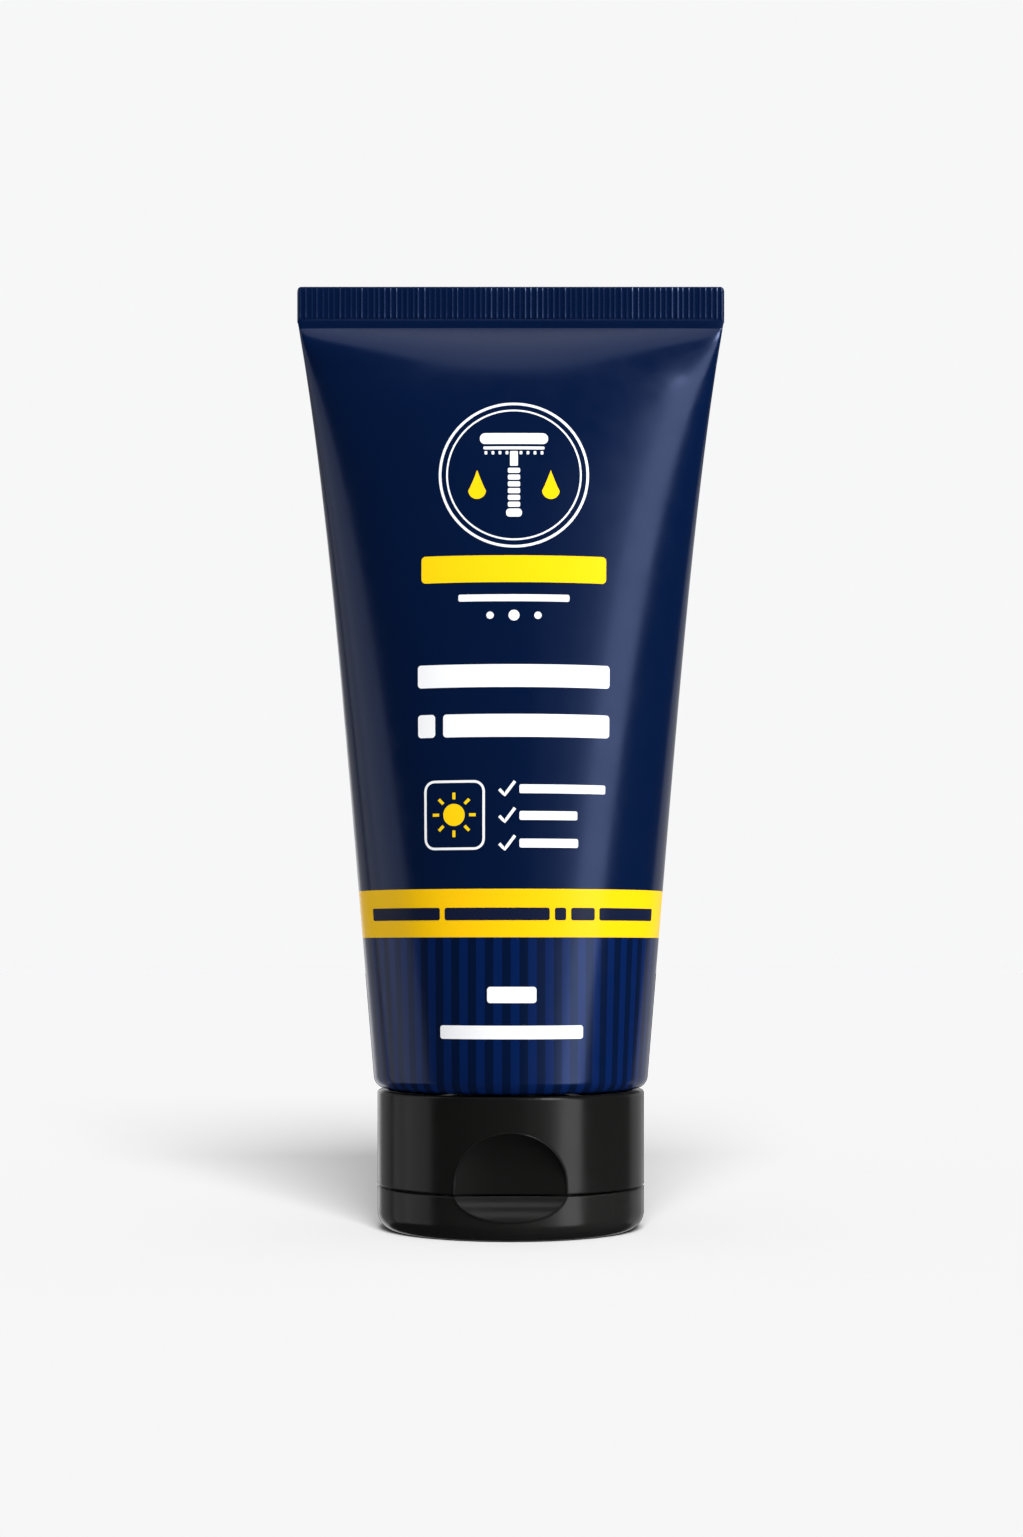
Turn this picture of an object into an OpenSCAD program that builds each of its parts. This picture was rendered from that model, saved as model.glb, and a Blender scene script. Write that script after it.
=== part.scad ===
// Squeeze tube with a crimped end seal, standing on its flip-top screw cap.
// Units are millimetres. +Z is up, the front faces -Y, and the origin is under the lid's centre.

/* [Tube] */
// Diameter of the round end of the sleeve
tube_d = 32; // [31:0.5:33]
// Height of the whole tube as it stands on its lid
overall_h = 110.1; // [104:0.1:118]
// Thickness of the sleeve's wall
sleeve_wall = 0.45; // [0.35:0.05:0.5]
// Radius of the rounded edge where the shoulder meets the sleeve
shoulder_edge_r = 1.5; // [1.3:0.1:2]
// Volume level of the contents, as the height of their top surface
fill_level = 84; // [60:1:90]

/* [End seal] */
// Height of the flat seal, from the fold to the cut end
seal_h = 4.9; // [4:0.1:6]
// Height of its smooth band below the crimp ribs
seal_band_h = 1; // [0.8:0.1:1.5]
// Width of the seal
seal_w = 50; // [49.6:0.1:50.4]
// Thickness of the smooth band
seal_t = 0.9; // [0.8:0.05:1]
// Number of crimp ribs across the seal
rib_count = 76; // [60:1:90]

/* [Cap] */
// Outer diameter of the cap
cap_d = 31.1; // [30.6:0.1:31.1]
// Height of the cap's rim, lid included
cap_h = 16.2; // [15.8:0.1:16.4]
// Height of the parting line between lid and base
parting_h = 5.15; // [5:0.05:5.3]
// Thickness of the cap's outer wall
cap_wall = 1.2; // [1.1:0.05:1.3]
// Radius of the lid's bottom outer edge
lid_edge_r = 2.1; // [1.6:0.1:2.4]

/* [Thumb recess] */
// Width of the recess at the parting line
recess_w = 12.6; // [12:0.1:12.8]
// Height of the top of the arch
recess_top = 12.2; // [11.8:0.1:12.6]
// Depth of the recess at its middle
recess_depth = 1.9; // [1.7:0.05:2]
// Height of the bottom of the scoop in the lid
scoop_bottom = 2.3; // [2.2:0.05:2.5]

/* [Screw thread] */
// Rise of the thread in one turn
thread_pitch = 3; // [2.8:0.1:3.2]
// Number of turns of each thread
thread_turns = 1.25; // [1.1:0.05:1.3]
// Outer diameter of the plain neck
neck_d = 12; // [11.6:0.1:12.4]
// Height of the thread's ridge
ridge_h = 0.9; // [0.7:0.05:1]

/* [Hidden] */

round_fn = 96;
eps = 0.02;
overlap = 0.2;

// Sleeve
tube_r = tube_d / 2;
rim_gap = 0.2;
shoulder_z = cap_h + rim_gap;
shoulder_t = 1.8;
sleeve_z = shoulder_z + shoulder_edge_r;
fold_z = overall_h - seal_h;
rib_z = fold_z + seal_band_h;
fold_half_w = seal_w / 2 - 0.2;
sleeve_sides = 64;
sleeve_rings = 16;
wedge_slope = 0.85;
blend_power = 5;
taper_linear = 0.82;
taper_power = 4.8;
ring_crowding = 1.5;
edge_steps = 6;
flatten_start = 0.93;
cavity_top = 0.992;
rib_pitch = seal_w / rib_count;
rib_wave = 0.11;
rib_half_t = 0.3;
seal_corner_r = 1;

// Head
lap_h = 2;
lap_r = (half_depth(along(sleeve_z + lap_h)) - sleeve_wall) * cos(180 / sleeve_sides) - eps;
edge_in_r = tube_r - shoulder_edge_r;
head_gap = 0.05;
lap_wall = 1;
neck_r = neck_d / 2;
neck_bore_r = neck_r - 1.4;
neck_mouth_z = 8.15;
foil_t = 0.12;
foil_r = neck_r;

// Cap
cap_r = cap_d / 2;
parting_gap = 0.2;
lid_top = parting_h - parting_gap / 2;
base_bottom = parting_h + parting_gap / 2;
cap_in_r = cap_r - cap_wall;
rim_edge_r = 0.35;
parting_edge_r = 0.15;
lid_floor_t = 1.3;
deck_bottom = 6.2;
deck_top = 7.5;
collar_bore_r = neck_r + ridge_h + 0.15;
collar_wall = 1.3;
collar_top = cap_h - 0.8;
snap_gap = 0.15;
snap_wall = 0.6;
snap_drop = 1;

// Spout and sealing pin
orifice_r = 1.45;
lip_h = 1.1;
funnel_r = 2.2;
spout_r = 3.1;
spout_bottom = 3.6;
pin_r = orifice_r - 0.1;
pin_top = 4.95;
pin_tip_r = 0.4;

// Thread ridges: the neck's and the collar's lie half a pitch apart
ridge_root_w = 1.3;
ridge_crest_w = 0.7;
ridge_steps = 40;
ridge_fade = 4;
neck_ridge_z = neck_mouth_z + 1.45;
collar_ridge_z = neck_ridge_z + thread_pitch / 2;

// Thumb recess: its back is a wide vertical arc, and the scoop below is a smaller arc swept round it
recess_hw = recess_w / 2;
recess_back = cap_r - recess_depth;
recess_back_r = 36;
recess_axis = recess_back + recess_back_r;
arch_top_r = 6.6;
arch_side_r = 5.9;
scoop_rise = 0.69;
scoop_drop = parting_h - scoop_bottom;
scoop_r = (pow(recess_depth, 2) + pow(scoop_drop, 2) + 2 * scoop_rise * scoop_drop)
          / (2 * recess_depth);
backing_t = 1.2;
backing_hw = recess_hw + 1.4;
backing_top = recess_top + 1.2;

// Hinge at the back: a flat on the wall, two films on its surface and a snap band in a window
hinge_y = 14.6;
hinge_flat_top = 9.2;
hinge_hw = sqrt(pow(cap_r, 2) - pow(hinge_y, 2));
hinge_back_in = hinge_y - 1.4;
film_t = 0.35;
film_half_h = 1.1;
film_in = 3.1;
film_out = 4.9;
window_hw = 2.2;
window_half_h = 1.9;
spring_hw = 1.8;
spring_t = 0.4;
spring_y = 13.75;
spring_bow = 0.35;
hinge_clear = 0.02;

// ---- Sleeve ----

// Smooth step from 0 at a to 1 at b
function ramp(x, a, b) = let (t = min(1, max(0, (x - a) / (b - a)))) t * t * (3 - 2 * t);

// Height along the sleeve, 0 at the shoulder and 1 at the fold
function along(z) = (z - sleeve_z) / (fold_z - sleeve_z);

// Half width: the sleeve widens towards the seal
function half_width(s) =
    tube_r + (fold_half_w - tube_r) * (taper_linear * s + (1 - taper_linear) * pow(s, taper_power));

// Half depth of the ellipse that has half width a and the round end's perimeter
function same_perimeter(a) =
    let (q = 12 * tube_r - 8 * a,
         c = 6 * a * a - 12 * tube_r * a + 4 * tube_r * tube_r)
    (q + sqrt(q * q - 24 * c)) / 12;

// Half depth: the wall closes onto the seal as a wedge, with a soft change from one rule to the other
function half_depth(s) =
    let (full = same_perimeter(half_width(s)),
         wedge = seal_t / 2 + wedge_slope * (1 - s) * (fold_z - sleeve_z))
    pow(pow(full, -blend_power) + pow(wedge, -blend_power), -1 / blend_power);

// One ring of points; edge is 1 for an ellipse and 0 for a flat bar
function ring(a, b, z, edge, sides) =
    [for (i = [0:sides - 1])
        let (t = 360 * i / sides,
             y = (i % (sides / 2) == 0) ? 0 : sign(sin(t)) * pow(abs(sin(t)), edge))
        [a * cos(t), b * y, z]];

// A ring of the sleeve at height s, moved inwards by inset
function sleeve_ring(s, inset, sides) =
    ring(half_width(s) - inset, half_depth(s) - inset, sleeve_z + s * (fold_z - sleeve_z),
         1 - ramp(s, flatten_start, 1), sides);

// Rings round the shoulder's edge, from underneath to the side, moved inwards by inset
function edge_rings(inset, sides) =
    [for (i = [0:edge_steps - 1])
        let (t = 90 * i / edge_steps, r = edge_in_r + (shoulder_edge_r - inset) * sin(t))
        ring(r, r, sleeve_z - (shoulder_edge_r - inset) * cos(t), 1, sides)];

// Heights of the rings, closer together near the seal
function ring_heights(n, top) = [for (i = [0:n]) top * (1 - pow(1 - i / n, ring_crowding))];

// Points of a stack of rings, one after another
function flatten(rings) = [for (r = rings) for (p = r) p];

// Triangles of the wall between each ring and the next
function wall_faces(rings, sides) =
    [for (j = [0:rings - 2], i = [0:sides - 1])
        let (k = (i + 1) % sides, a = j * sides + i, b = j * sides + k)
        each [[a, a + sides, b], [b, a + sides, b + sides]]];

// Triangles that close a ring, facing up or down
function cap_faces(start, sides, up) =
    [for (i = [1:sides - 2])
        up ? [start, start + i + 1, start + i] : [start, start + i, start + i + 1]];

module loft(rings, sides) {
    points = flatten(rings);
    faces = concat(
        wall_faces(len(rings), sides),
        cap_faces(0, sides, false),
        cap_faces((len(rings) - 1) * sides, sides, true));
    polyhedron(points, faces, convexity = 4);
}

module sleeve_shell() {
    outer = [for (s = ring_heights(sleeve_rings, 1)) sleeve_ring(s, 0, sleeve_sides)];
    band = [for (h = [0.25, 1])
        ring(fold_half_w + (seal_w / 2 - fold_half_w) * h, seal_t / 2,
             fold_z + h * seal_band_h, 0, sleeve_sides)];
    inner = concat(
        edge_rings(sleeve_wall, sleeve_sides),
        [for (s = ring_heights(sleeve_rings - 2, cavity_top))
            sleeve_ring(s, sleeve_wall, sleeve_sides)]);
    stack = concat(edge_rings(0, sleeve_sides), outer, band);
    n_out = len(stack);
    n_in = len(inner);
    points = concat(flatten(stack), flatten(inner));
    inner_start = n_out * sleeve_sides;
    inner_wall = [for (f = wall_faces(n_in, sleeve_sides))
        [f[0] + inner_start, f[2] + inner_start, f[1] + inner_start]];
    mouth = [for (i = [0:sleeve_sides - 1])
        let (k = (i + 1) % sleeve_sides)
        each [[i, k, inner_start + i], [k, inner_start + k, inner_start + i]]];
    faces = concat(
        wall_faces(n_out, sleeve_sides),
        cap_faces((n_out - 1) * sleeve_sides, sleeve_sides, true),
        inner_wall,
        cap_faces(inner_start + (n_in - 1) * sleeve_sides, sleeve_sides, false),
        mouth);
    polyhedron(points, faces, convexity = 6);
}

// The crimped end: a wavy plate of even thickness, with its two top corners rounded
module crimp() {
    half = rib_count / 2;
    x_end = seal_w / 2 - rib_pitch / 2;
    front = [for (i = [-half * 2 + 1:half * 2 - 1])
        [i * rib_pitch / 2, -rib_half_t + rib_wave * (i % 2 == 0 ? 1 : -1)]];
    back = [for (p = front) [p[0], p[1] + 2 * rib_half_t]];
    outline = concat(front, [for (i = [len(back) - 1:-1:0]) back[i]]);
    plate_top = overall_h - rib_z;
    intersection() {
        translate([0, 0, rib_z - overlap])
            linear_extrude(height = plate_top + overlap)
                polygon(outline);
        translate([0, seal_t, rib_z - 2 * overlap])
            rotate([90, 0, 0])
                linear_extrude(height = 2 * seal_t)
                    union() {
                        translate([-x_end, 0])
                            square([2 * x_end, plate_top + 2 * overlap - seal_corner_r]);
                        translate([-x_end + seal_corner_r, 0])
                            square([2 * (x_end - seal_corner_r), plate_top + 2 * overlap]);
                        for (side = [-1, 1])
                            translate([side * (x_end - seal_corner_r),
                                       plate_top + 2 * overlap - seal_corner_r])
                                circle(r = seal_corner_r, $fn = 32);
                    }
    }
}

module tube_sleeve() {
    color("midnightblue")
        union() {
            sleeve_shell();
            crimp();
        }
}

// ---- Thread ----

// A screw ridge that starts at angle 0 and height z, from radius r_root to r_crest, faded at its ends
module screw_ridge(z, r_root, r_crest) {
    out = sign(r_crest - r_root);
    sections = [for (i = [0:ridge_steps])
        let (t = 360 * thread_turns * i / ridge_steps,
             zc = z + thread_pitch * thread_turns * i / ridge_steps,
             full = min(1, i / ridge_fade, (ridge_steps - i) / ridge_fade),
             crest = r_root + (r_crest - r_root) * full,
             root = r_root - out * overlap,
             crest_w = ridge_root_w + (ridge_crest_w - ridge_root_w) * full)
        [[root, -ridge_root_w / 2], [crest, -crest_w / 2], [crest, crest_w / 2], [root, ridge_root_w / 2]]];
    points = [for (i = [0:ridge_steps])
        let (t = 360 * thread_turns * i / ridge_steps,
             zc = z + thread_pitch * thread_turns * i / ridge_steps)
        for (p = sections[i]) [p[0] * cos(t), p[0] * sin(t), zc + p[1]]];
    // Sections of an outward ridge run the other way round from those of an inward one
    wall = [for (j = [0:ridge_steps - 1], i = [0:3])
        let (k = (i + 1) % 4, a = 4 * j + i, b = 4 * j + k)
        each [[a, b, a + 4], [b, b + 4, a + 4]]];
    last = 4 * ridge_steps;
    ends = [[0, 3, 1], [1, 3, 2], [last, last + 1, last + 3], [last + 1, last + 2, last + 3]];
    all_faces = concat(wall, ends);
    faces = out > 0 ? all_faces : [for (f = all_faces) [f[0], f[2], f[1]]];
    polyhedron(points, faces, convexity = 6);
}

// ---- Turned sections ----

// A rectangle from the axis out to r, with its outer corners rounded
module turned_block(r, z0, z1, low_r, high_r) {
    difference() {
        translate([0, z0]) square([r, z1 - z0]);
        outer_corner(r, z0, low_r, 1);
        outer_corner(r, z1, high_r, -1);
    }
}

// What a rounding of radius c removes at the corner (r, z); up is 1 at a lower corner and -1 at an upper one
module outer_corner(r, z, c, up) {
    if (c > 0) {
        difference() {
            translate([r - c, up > 0 ? z - 1 : z - c]) square([c + 1, c + 1]);
            translate([r - c, z + up * c]) circle(r = c, $fn = 48);
        }
    }
}

// ---- Head ----

module tube_head() {
    color("midnightblue")
        union() {
            rotate_extrude($fn = round_fn)
                difference() {
                    union() {
                        translate([0, shoulder_z]) square([edge_in_r - head_gap, shoulder_t]);
                        turned_block(lap_r, shoulder_z + sleeve_wall + head_gap, sleeve_z + lap_h,
                                     shoulder_edge_r - sleeve_wall, 0);
                        translate([0, neck_mouth_z]) square([neck_r, shoulder_z - neck_mouth_z + eps]);
                    }
                    translate([0, neck_mouth_z - 1]) square([neck_bore_r, shoulder_z]);
                    translate([0, shoulder_z + shoulder_t])
                        square([lap_r - lap_wall, lap_h + shoulder_edge_r]);
                }
            screw_ridge(neck_ridge_z, neck_r, neck_r + ridge_h);
        }
}

module foil_seal() {
    color("silver")
        translate([0, 0, neck_mouth_z - foil_t - 2 * eps])
            cylinder(r = foil_r, h = foil_t, $fn = round_fn);
}

// The contents fill the neck and the sleeve up to the fill level
module cream_fill() {
    sides = 48;
    rings = 9;
    gap = 0.15;
    inset = sleeve_wall + gap;
    start = shoulder_z + shoulder_t + gap;
    lap_clear = lap_r - lap_wall - gap;
    above_lap = sleeve_z + lap_h + gap;
    stack = concat(
        [for (z = [neck_mouth_z + gap, start]) ring(neck_bore_r - gap, neck_bore_r - gap, z, 1, sides)],
        [for (z = [start + gap, above_lap]) ring(lap_clear, lap_clear, z, 1, sides)],
        [for (i = [0:rings])
            sleeve_ring(along(above_lap + gap + (fill_level - above_lap - gap) * i / rings), inset, sides)]);
    color("ivory")
        loft(stack, sides);
}

// ---- Thumb recess ----

// Front outline of the arch: an arc over two slightly tighter ones, with short straight sides below
module arch_outline() {
    side_x = recess_hw - arch_side_r;
    top_z = recess_top - arch_top_r;
    side_z = top_z + sqrt(pow(arch_top_r - arch_side_r, 2) - pow(side_x, 2));
    join = arch_top_r / (arch_top_r - arch_side_r);
    join_x = side_x * join;
    join_z = top_z + (side_z - top_z) * join;
    polygon([[-recess_hw, 0], [recess_hw, 0], [recess_hw, side_z], [join_x, join_z],
             [-join_x, join_z], [-recess_hw, side_z]]);
    for (side = [-1, 1])
        translate([side * side_x, side_z]) circle(r = arch_side_r, $fn = round_fn);
    intersection() {
        translate([0, top_z]) circle(r = arch_top_r, $fn = round_fn);
        translate([-join_x, join_z - 1]) square([2 * join_x, arch_top_r]);
    }
}

module arch_cut() {
    intersection() {
        rotate([90, 0, 0])
            linear_extrude(height = cap_r + 2)
                arch_outline();
        translate([0, -recess_axis, 0])
            cylinder(r = recess_back_r, h = cap_h, $fn = round_fn);
    }
}

module scoop_cut() {
    arc_z = parting_h + scoop_rise;
    arc_r = sqrt(pow(scoop_r, 2) + pow(scoop_rise, 2));
    translate([0, -recess_axis, 0])
        rotate_extrude($fn = round_fn)
            union() {
                translate([recess_back_r - scoop_r, arc_z]) circle(r = arc_r, $fn = round_fn);
                translate([0, arc_z - arc_r]) square([recess_back_r - scoop_r, 2 * arc_r]);
            }
}

// Wall behind the recess, from height z0 to z1
module recess_backing(z0, z1) {
    intersection() {
        cylinder(r = cap_r - parting_edge_r - eps, h = cap_h, $fn = round_fn);
        translate([-backing_hw, -cap_r, z0])
            cube([2 * backing_hw, cap_r - recess_back + backing_t, z1 - z0]);
    }
}

// ---- Hinge ----

// Wall behind the hinge flat, from height z0 to z1
module hinge_backing(z0, z1) {
    intersection() {
        cylinder(r = cap_r - parting_edge_r - eps, h = cap_h, $fn = round_fn);
        translate([-hinge_hw - 1, hinge_back_in, z0])
            cube([2 * hinge_hw + 2, cap_r - hinge_back_in, z1 - z0]);
    }
}

// What the hinge removes from the wall: the flat, the window and two shallow film seats
module hinge_cut() {
    translate([-cap_r, hinge_y, -1])
        cube([cap_d, cap_r, hinge_flat_top + 1]);
    translate([-window_hw, hinge_back_in - 1, parting_h - window_half_h])
        cube([2 * window_hw, cap_r, 2 * window_half_h]);
    for (side = [-1, 1])
        translate([side * (film_in + film_out) / 2, hinge_y, parting_h])
            cube([film_out - film_in + 2 * hinge_clear, 2 * film_t + 2 * hinge_clear,
                  2 * film_half_h + 2 * hinge_clear], center = true);
}

module hinge_films() {
    color("black")
        for (side = [-1, 1])
            translate([side * (film_in + film_out) / 2, hinge_y - film_t / 2, parting_h])
                cube([film_out - film_in, film_t, 2 * film_half_h], center = true);
}

// A thin band, bowed inwards, from the lid's window edge to the base's
module hinge_spring() {
    half = window_half_h - hinge_clear;
    bow_r = (pow(half, 2) + pow(spring_bow, 2)) / (2 * spring_bow);
    color("black")
        intersection() {
            translate([0, spring_y - spring_bow + bow_r, parting_h])
                rotate([0, 90, 0])
                    difference() {
                        cylinder(r = bow_r + spring_t / 2, h = 2 * spring_hw, center = true, $fn = round_fn);
                        cylinder(r = bow_r - spring_t / 2, h = 3 * spring_hw, center = true, $fn = round_fn);
                    }
            translate([-spring_hw, spring_y - 2 * spring_bow - spring_t, parting_h - half])
                cube([2 * spring_hw, 4 * spring_bow + 2 * spring_t, 2 * half]);
        }
}

// ---- Cap ----

module cap_lid() {
    color("dimgray")
        difference() {
            union() {
                rotate_extrude($fn = round_fn)
                    union() {
                        difference() {
                            turned_block(cap_r, 0, lid_top, lid_edge_r, parting_edge_r);
                            translate([0, lid_floor_t]) square([cap_in_r, lid_top]);
                        }
                        turned_block(pin_r, lid_floor_t - eps, pin_top, 0, pin_tip_r);
                    }
                recess_backing(lid_floor_t - eps, lid_top);
                hinge_backing(lid_floor_t - eps, lid_top);
            }
            scoop_cut();
            hinge_cut();
        }
}

// The rim that the lid snaps over, left open at the recess and at the hinge
module snap_rim() {
    difference() {
        rotate_extrude($fn = round_fn)
            translate([cap_in_r - snap_gap - snap_wall, base_bottom - snap_drop])
                square([snap_wall, deck_bottom - base_bottom + snap_drop + eps]);
        translate([-backing_hw - 0.4, -cap_r, 0])
            cube([2 * backing_hw + 0.8, cap_d, cap_h]);
    }
}

module cap_base() {
    color("dimgray")
        difference() {
            union() {
                rotate_extrude($fn = round_fn)
                    union() {
                        difference() {
                            turned_block(cap_r, base_bottom, cap_h, parting_edge_r, rim_edge_r);
                            translate([0, base_bottom - 1]) square([cap_in_r, cap_h]);
                        }
                        translate([0, deck_bottom]) square([cap_in_r + eps, deck_top - deck_bottom]);
                        translate([0, spout_bottom]) square([spout_r, deck_top - spout_bottom]);
                        translate([collar_bore_r, deck_top - eps])
                            square([collar_wall, collar_top - deck_top + eps]);
                    }
                snap_rim();
                screw_ridge(collar_ridge_z, collar_bore_r, neck_r + 0.15);
                recess_backing(base_bottom, backing_top);
                hinge_backing(base_bottom, hinge_flat_top + 1);
            }
            arch_cut();
            hinge_cut();
            translate([0, 0, spout_bottom - 1]) cylinder(r = orifice_r, h = cap_h, $fn = round_fn);
            translate([0, 0, spout_bottom + lip_h]) cylinder(r = funnel_r, h = cap_h, $fn = round_fn);
        }
}

tube_sleeve();
tube_head();
foil_seal();
cream_fill();
cap_base();
cap_lid();
hinge_films();
hinge_spring();
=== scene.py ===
import math
import random

import bpy
import numpy as np
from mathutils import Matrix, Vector


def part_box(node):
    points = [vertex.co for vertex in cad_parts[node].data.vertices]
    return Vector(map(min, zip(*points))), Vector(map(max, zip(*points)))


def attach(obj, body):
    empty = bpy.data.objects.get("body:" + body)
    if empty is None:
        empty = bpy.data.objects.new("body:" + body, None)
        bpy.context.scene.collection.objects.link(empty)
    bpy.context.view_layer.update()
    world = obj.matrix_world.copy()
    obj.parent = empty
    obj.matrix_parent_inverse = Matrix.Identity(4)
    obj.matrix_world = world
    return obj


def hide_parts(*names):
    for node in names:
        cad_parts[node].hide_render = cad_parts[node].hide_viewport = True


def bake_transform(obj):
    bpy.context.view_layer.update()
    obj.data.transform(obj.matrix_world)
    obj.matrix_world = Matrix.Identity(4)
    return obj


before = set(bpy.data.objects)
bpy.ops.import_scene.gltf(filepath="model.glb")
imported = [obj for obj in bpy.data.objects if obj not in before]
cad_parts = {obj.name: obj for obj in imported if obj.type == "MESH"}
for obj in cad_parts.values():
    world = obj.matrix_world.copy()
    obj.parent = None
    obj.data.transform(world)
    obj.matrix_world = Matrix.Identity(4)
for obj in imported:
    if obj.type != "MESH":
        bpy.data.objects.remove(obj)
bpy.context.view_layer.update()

MM = 0.001


def box_mm(node):
    """Lowest and highest corner of a CAD node, in millimetres."""
    low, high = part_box(node)
    return Vector(low) / MM, Vector(high) / MM


# ---- Driving dimensions, in millimetres ----

sleeve_low, sleeve_high = box_mm("tube_sleeve")
lid_low, lid_high = box_mm("cap_lid")
films_low, films_high = box_mm("hinge_films")
spring_low, spring_high = box_mm("hinge_spring")

TUBE_R = 16.0
EDGE_R = 1.5
SEAL_H = 4.9
BAND_H = 1.0
SEAL_HALF_T = 0.45
SLEEVE_WALL = 0.45
SEAL_HALF_W = sleeve_high.x
TOP_Z = sleeve_high.z
SHOULDER_Z = sleeve_low.z
SLEEVE_Z = SHOULDER_Z + EDGE_R
FOLD_Z = TOP_Z - SEAL_H
RIB_Z = FOLD_Z + BAND_H
FOLD_HALF_W = SEAL_HALF_W - 0.2
HINGE_Y = films_high.y
PARTING_Z = (films_low.z + films_high.z) / 2

# Sleeve profile: the same rules as the CAD sleeve
TAPER_LINEAR = 0.82
TAPER_POWER = 4.8
WEDGE_SLOPE = 0.85
BLEND_POWER = 5
FLATTEN_START = 0.93
END_ROUNDNESS = 0.2

# Printed bands
YELLOW_TOP = 39.3
YELLOW_BOTTOM = 33.9
STRIPE_PERIODS = 52
COLUMNS_PER_STRIPE = 8
SLEEVE_COLUMNS = STRIPE_PERIODS * COLUMNS_PER_STRIPE
LABEL_U = 0.37


# ---- Sleeve surface ----

def smoothstep(x, a, b):
    t = np.clip((x - a) / (b - a), 0, 1)
    return t * t * (3 - 2 * t)


def half_width(s):
    rise = TAPER_LINEAR * s + (1 - TAPER_LINEAR) * s ** TAPER_POWER
    return TUBE_R + (FOLD_HALF_W - TUBE_R) * rise


def same_perimeter(a):
    """Half depth of the ellipse that has half width a and the round end's perimeter."""
    q = 12 * TUBE_R - 8 * a
    c = 6 * a * a - 12 * TUBE_R * a + 4 * TUBE_R * TUBE_R
    return (q + math.sqrt(q * q - 24 * c)) / 12


def half_depth(s):
    full = same_perimeter(half_width(s))
    wedge = SEAL_HALF_T + WEDGE_SLOPE * (1 - s) * (FOLD_Z - SLEEVE_Z)
    return (full ** -BLEND_POWER + wedge ** -BLEND_POWER) ** (-1 / BLEND_POWER)


def section(z):
    """Half width, half depth and corner exponent of the sleeve at height z."""
    if z < SLEEVE_Z:
        drop = SLEEVE_Z - z
        r = TUBE_R - EDGE_R + math.sqrt(max(0, EDGE_R ** 2 - drop ** 2))
        return r, r, 1.0
    if z > FOLD_Z:
        up = min(1, (z - FOLD_Z) / BAND_H)
        return FOLD_HALF_W + (SEAL_HALF_W - FOLD_HALF_W) * up, SEAL_HALF_T, END_ROUNDNESS
    s = (z - SLEEVE_Z) / (FOLD_Z - SLEEVE_Z)
    edge = 1 - (1 - END_ROUNDNESS) * float(smoothstep(s, FLATTEN_START, 1))
    return half_width(s), half_depth(s), edge


def ring(z, fractions, inset=0.0):
    """Points at equal shares of the section's perimeter, from the front's middle round by +X."""
    a, b, edge = section(z)
    turn = np.linspace(0, 2 * math.pi, 5761)
    x = (a - inset) * np.sin(turn)
    y = -(b - inset) * np.sign(np.cos(turn)) * np.abs(np.cos(turn)) ** edge
    length = np.concatenate([[0], np.cumsum(np.hypot(np.diff(x), np.diff(y)))])
    at = np.mod(fractions, 1) * length[-1]
    return np.stack([np.interp(at, length, x), np.interp(at, length, y), np.full(len(at), z)], 1)


# ---- Meshes ----

def make_object(name, points_mm, faces, materials, face_slots=None, sharp_deg=35):
    """A smooth-shaded mesh object from points in millimetres."""
    mesh = bpy.data.meshes.new(name)
    mesh.from_pydata((np.asarray(points_mm) * MM).tolist(), [], faces)
    for m in materials:
        mesh.materials.append(m)
    if face_slots is not None:
        mesh.polygons.foreach_set("material_index", np.asarray(face_slots, dtype=np.int32))
    mesh.polygons.foreach_set("use_smooth", np.ones(len(mesh.polygons), dtype=bool))
    mesh.set_sharp_from_angle(angle=math.radians(sharp_deg))
    mesh.validate()
    mesh.update()
    obj = bpy.data.objects.new(name, mesh)
    bpy.context.scene.collection.objects.link(obj)
    return obj


def loop_faces(rows, columns, start=0, flip=False):
    """Quads between neighbouring closed rows of points."""
    faces = []
    for j in range(rows - 1):
        for i in range(columns):
            k = (i + 1) % columns
            quad = (start + j * columns + i, start + j * columns + k,
                    start + (j + 1) * columns + k, start + (j + 1) * columns + i)
            faces.append(quad[::-1] if flip else quad)
    return faces


def sheet_quads(rows, columns):
    """Quads of an open sheet of points, row by row."""
    return [(j * columns + i, j * columns + i + 1, (j + 1) * columns + i + 1, (j + 1) * columns + i)
            for j in range(rows - 1) for i in range(columns - 1)]


def thicken(top, bottom, quads):
    """Closed solid between two sheets of points that share the same quads."""
    n = len(top)
    points = np.concatenate([top, bottom])
    faces = [tuple(q) for q in quads]
    faces += [tuple(i + n for i in reversed(q)) for q in quads]
    directed = set()
    for q in quads:
        for i in range(len(q)):
            directed.add((q[i], q[(i + 1) % len(q)]))
    for a, b in sorted(directed):
        if (b, a) not in directed:
            faces.append((b, a, a + n, b + n))
    return points, faces


# ---- Materials ----

def new_material(name):
    m = bpy.data.materials.new(name)
    m.use_nodes = True
    return m, m.node_tree.nodes, m.node_tree.links, m.node_tree.nodes["Principled BSDF"]


def add_noise(nodes, links, scale, detail):
    """Noise in object coordinates, with scale in cycles per metre."""
    coords = nodes.new("ShaderNodeTexCoord")
    noise = nodes.new("ShaderNodeTexNoise")
    noise.inputs["Scale"].default_value = scale
    noise.inputs["Detail"].default_value = detail
    links.new(coords.outputs["Object"], noise.inputs["Vector"])
    return noise.outputs["Fac"]


NOISE_LOW = 0.3
NOISE_HIGH = 0.7


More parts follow.
